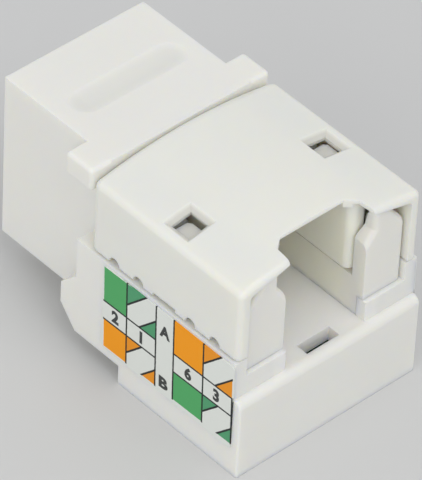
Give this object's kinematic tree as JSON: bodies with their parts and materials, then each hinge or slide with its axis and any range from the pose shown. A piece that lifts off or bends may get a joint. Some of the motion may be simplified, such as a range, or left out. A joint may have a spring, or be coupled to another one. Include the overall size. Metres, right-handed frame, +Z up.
{
  "type": "keystone jack",
  "caption": "White keystone jack: a plug port in a square front block, a cable channel behind it between two banks of terminals, and a lift-off cap over the wires.",
  "frame": {"origin": "on the standing plane, under the middle of the bounding box", "axes": "+Z up, +Y to the cable end, -Y to the plug end, +X to the side whose label shows contacts 1, 2, 3 and 6"},
  "size_m": [0.0194, 0.0308, 0.0196],
  "materials": {
    "white_plastic": "satin",
    "cap_plastic": "satin",
    "comb_plastic": "satin",
    "board": "satin",
    "gold_plate": "polished",
    "tinned_bronze": "satin",
    "label_print_right": "printed",
    "label_print_left": "printed"
  },
  "bodies": {
    "jack": {"front_housing": "white_plastic", "contact_carrier": "comb_plastic", "circuit_board": "board", "rear_base": "white_plastic", "bottom_cover": "white_plastic", "terminal_block": "white_plastic", "label_right": "label_print_right", "label_left": "label_print_left", "contact_1": "gold_plate", "contact_2": "gold_plate", "contact_3": "gold_plate", "contact_4": "gold_plate", "contact_5": "gold_plate", "contact_6": "gold_plate", "contact_7": "gold_plate", "contact_8": "gold_plate", "idc_terminal_1": "tinned_bronze", "idc_terminal_2": "tinned_bronze", "idc_terminal_3": "tinned_bronze", "idc_terminal_4": "tinned_bronze", "idc_terminal_5": "tinned_bronze", "idc_terminal_6": "tinned_bronze", "idc_terminal_7": "tinned_bronze", "idc_terminal_8": "tinned_bronze"},
    "cap": {"wire_cap": "cap_plastic"}
  },
  "joints": [
    {"name": "cap_lift", "type": "slide", "parent": "jack", "child": "cap", "axis": [0, 0, 1], "range_m": [0, 0.01]}
  ]
}
